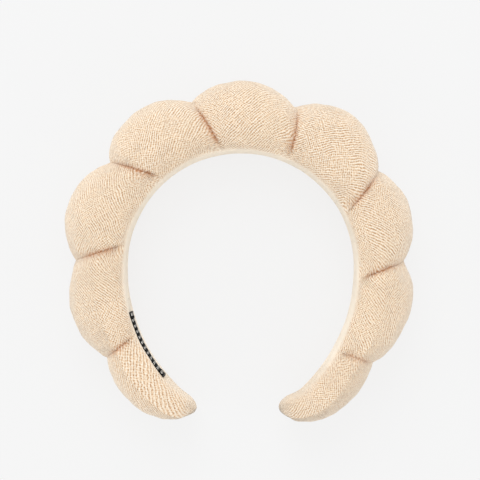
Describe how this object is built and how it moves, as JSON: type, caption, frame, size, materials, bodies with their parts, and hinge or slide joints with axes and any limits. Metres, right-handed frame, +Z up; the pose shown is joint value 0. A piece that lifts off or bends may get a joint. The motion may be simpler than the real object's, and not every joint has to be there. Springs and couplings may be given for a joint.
{
  "type": "spa headband",
  "caption": "Puffy terry spa headband: a springy hoop inside a foam-filled sleeve gathered into rounded puffs, open at the nape.",
  "frame": {"origin": "middle of the underside of the band's box when it lies flat", "axes": "+Z up out of the surface it lies on, +Y towards the crown, the open ends towards -Y, +X to the right seen from above"},
  "size_m": [0.189, 0.1844, 0.042],
  "materials": {
    "terry": "looped terry knit, soft and dull",
    "foam": "soft open-cell foam, dull",
    "hoop_plastic": "moulded springy plastic, satin",
    "thread": "twisted sewing thread",
    "label_weave": "fine satin weave",
    "label_thread": "twisted sewing thread"
  },
  "bodies": {
    "crown": {"hoop_crown": "hoop_plastic", "foam_crown": "foam", "cover_crown": "terry", "seam_crown": "thread", "gather_thread_left_1": "thread", "gather_thread_right_1": "thread"},
    "left_upper": {"hoop_left_upper": "hoop_plastic", "foam_left_upper": "foam", "cover_left_upper": "terry", "seam_left_upper": "thread", "gather_thread_left_2": "thread"},
    "left_side": {"hoop_left_side": "hoop_plastic", "foam_left_side": "foam", "cover_left_side": "terry", "seam_left_side": "thread", "gather_thread_left_3": "thread"},
    "left_arm": {"hoop_left_arm": "hoop_plastic", "foam_left_lower": "foam", "foam_left_tail": "foam", "cover_left_lower": "terry", "cover_left_tail": "terry", "seam_left_lower": "thread", "seam_left_tail": "thread", "gather_thread_left_4": "thread", "label": "label_weave", "label_stitches": "label_thread"},
    "right_upper": {"hoop_right_upper": "hoop_plastic", "foam_right_upper": "foam", "cover_right_upper": "terry", "seam_right_upper": "thread", "gather_thread_right_2": "thread"},
    "right_side": {"hoop_right_side": "hoop_plastic", "foam_right_side": "foam", "cover_right_side": "terry", "seam_right_side": "thread", "gather_thread_right_3": "thread"},
    "right_arm": {"hoop_right_arm": "hoop_plastic", "foam_right_lower": "foam", "foam_right_tail": "foam", "cover_right_lower": "terry", "cover_right_tail": "terry", "seam_right_lower": "thread", "seam_right_tail": "thread", "gather_thread_right_4": "thread"}
  },
  "joints": [
    {"name": "left_flex_1", "type": "hinge", "parent": "crown", "child": "left_upper", "pos_m": [-0.01969, 0.05224, 0.021], "axis": [0, 0, -1], "range_deg": [-2, 6], "stiffness_Nm_per_rad": 2},
    {"name": "left_flex_2", "type": "hinge", "parent": "left_upper", "child": "left_side", "pos_m": [-0.05176, 0.02936, 0.021], "axis": [0, 0, -1], "range_deg": [-1.7, 5], "stiffness_Nm_per_rad": 2},
    {"name": "left_flex_3", "type": "hinge", "parent": "left_side", "child": "left_arm", "pos_m": [-0.06458, -0.00788, 0.021], "axis": [0, 0, -1], "range_deg": [-1.2, 3.5], "stiffness_Nm_per_rad": 2},
    {"name": "right_flex_1", "type": "hinge", "parent": "crown", "child": "right_upper", "pos_m": [0.01969, 0.05224, 0.021], "axis": [0, 0, 1], "range_deg": [-2, 6], "stiffness_Nm_per_rad": 2},
    {"name": "right_flex_2", "type": "hinge", "parent": "right_upper", "child": "right_side", "pos_m": [0.05176, 0.02936, 0.021], "axis": [0, 0, 1], "range_deg": [-1.7, 5], "stiffness_Nm_per_rad": 2},
    {"name": "right_flex_3", "type": "hinge", "parent": "right_side", "child": "right_arm", "pos_m": [0.06458, -0.00788, 0.021], "axis": [0, 0, 1], "range_deg": [-1.2, 3.5], "stiffness_Nm_per_rad": 2}
  ],
  "couplings": [
    {"joint": "left_flex_2", "follows": "left_flex_1", "ratio": 0.83},
    {"joint": "left_flex_3", "follows": "left_flex_1", "ratio": 0.57},
    {"joint": "right_flex_2", "follows": "right_flex_1", "ratio": 0.83},
    {"joint": "right_flex_3", "follows": "right_flex_1", "ratio": 0.57}
  ]
}
